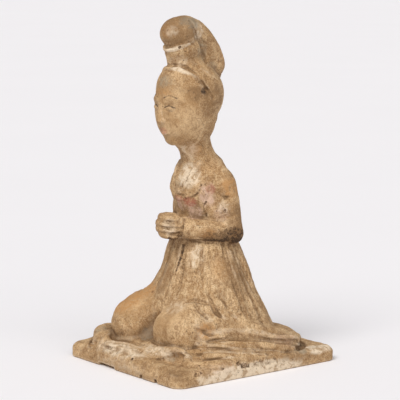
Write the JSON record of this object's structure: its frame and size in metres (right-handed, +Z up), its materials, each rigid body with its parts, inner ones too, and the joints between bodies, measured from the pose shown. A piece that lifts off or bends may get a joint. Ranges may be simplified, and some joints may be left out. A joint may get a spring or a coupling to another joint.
{
  "type": "kneeling court lady statuette",
  "caption": "Moulded earthenware statuette of a kneeling court lady with high looped hair and clasped hands, on an integral slab.",
  "frame": {"origin": "middle of the flat underside of the slab she kneels on", "axes": "+Z up to the crown of the hair, she faces -Y, +X is her left"},
  "size_m": [0.1443, 0.1581, 0.2679],
  "materials": {
    "earthenware": "matt, weathered"
  },
  "bodies": {
    "root": {"court_lady_figure": "earthenware"}
  },
  "joints": []
}
